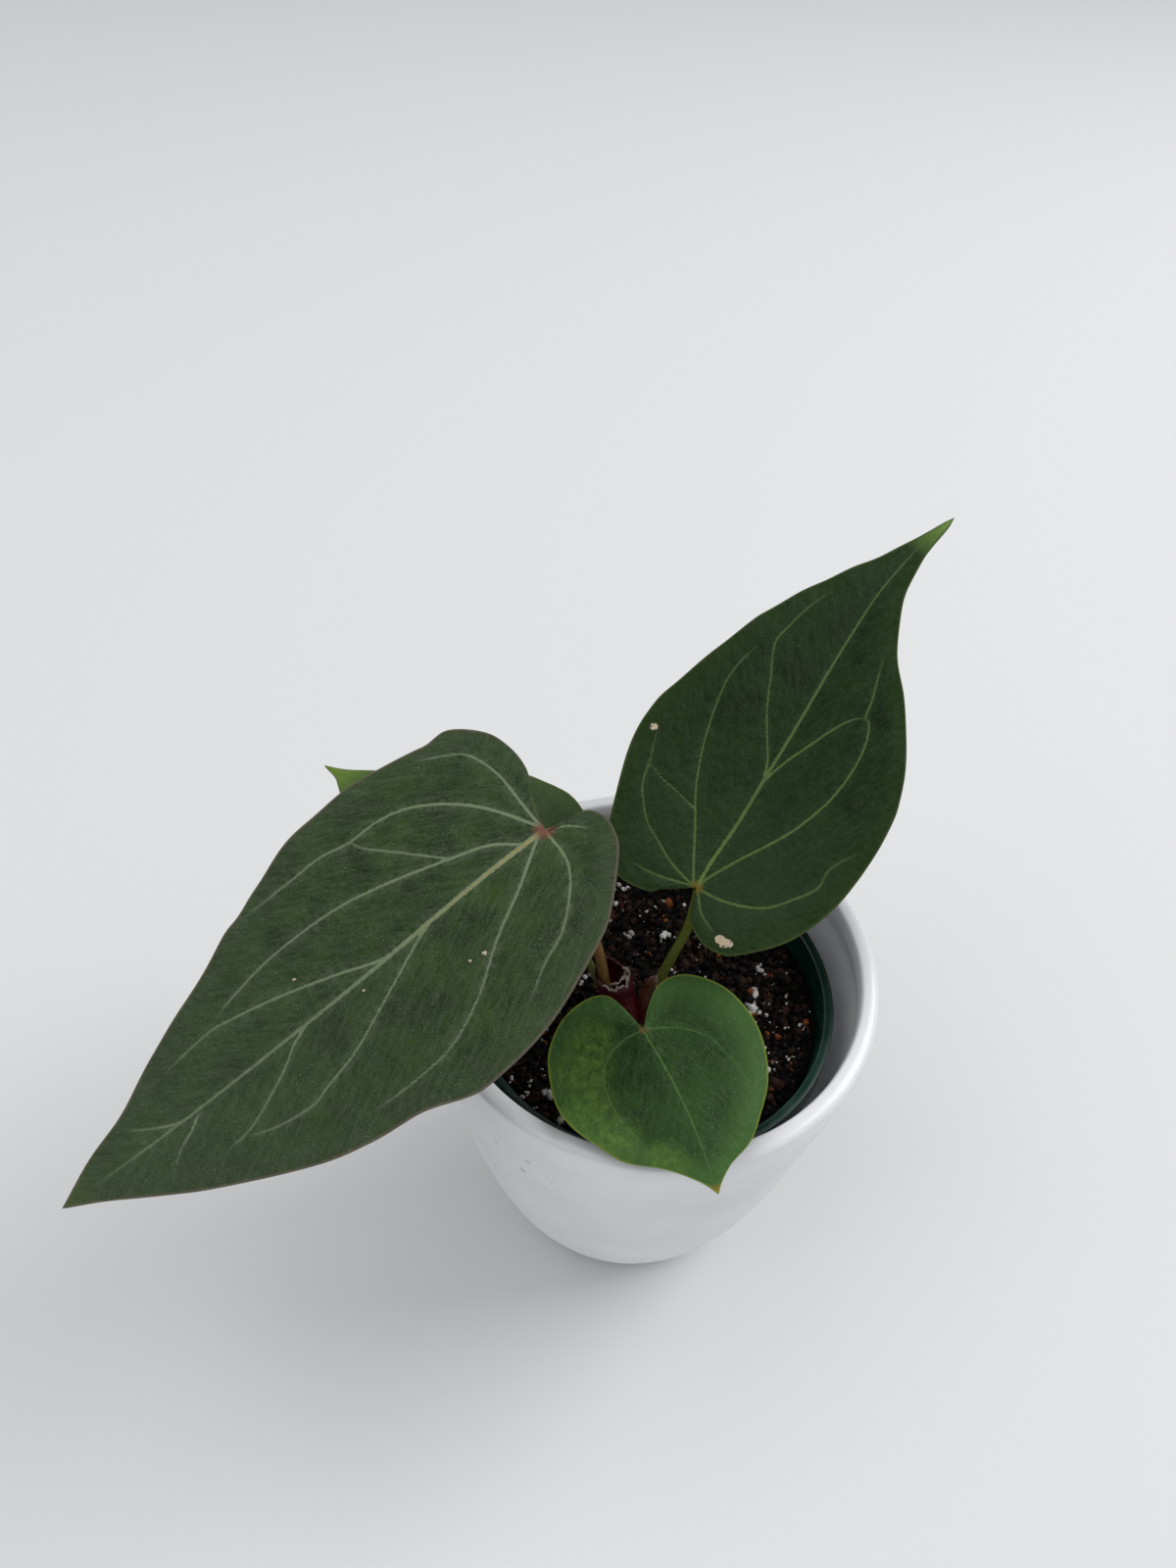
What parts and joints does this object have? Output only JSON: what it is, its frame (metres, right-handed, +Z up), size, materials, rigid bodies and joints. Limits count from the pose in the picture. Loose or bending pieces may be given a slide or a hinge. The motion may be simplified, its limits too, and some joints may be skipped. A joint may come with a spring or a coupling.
{
  "type": "potted king of spades anthurium",
  "caption": "Young velvet-leaved anthurium with heart-shaped leaves on thin stalks, growing in a green nursery pot that stands inside a rounded white outer pot.",
  "frame": {"origin": "centre of the outer pot's flat base, on the surface that it stands on", "axes": "+Z up along the pots' axis; +Y away from the picture's camera, which looks along +Y and down; +X to the right in the picture"},
  "size_m": [0.2252, 0.2018, 0.1844],
  "materials": {
    "white_pot": "smooth moulded plastic, glossy rounded lip, satin body with fine scuffs",
    "green_pot": "thin blow-moulded plastic, satin",
    "potting_mix": "dark damp crumbs with white perlite and red-brown bark",
    "crown": "rough brown stem",
    "stalk_olive": "smooth, satin, brown-olive",
    "stalk_green": "smooth, satin, green",
    "sheath_red": "thin, purple-red, with a dry white torn edge",
    "sheath_brown": "thin, dry, brown",
    "leaf_left": "velvety dark green with silvery veins and a pink-brown margin",
    "leaf_right": "velvety dark green with yellow-green veins",
    "leaf_front": "satin bright green with thin pale veins and yellow-green blotches",
    "leaf_back": "satin mid green with a yellow-green tip"
  },
  "bodies": {
    "root": {"outer_pot": "white_pot", "nursery_pot": "green_pot", "potting_mix": "potting_mix", "crown": "crown", "stalk_left": "stalk_olive", "stalk_right": "stalk_green", "stalk_front": "stalk_green", "stalk_back": "stalk_green", "sheath_red": "sheath_red", "sheath_brown": "sheath_brown", "blade_left": "leaf_left", "blade_right": "leaf_right", "blade_front": "leaf_front", "blade_back": "leaf_back"}
  },
  "joints": []
}
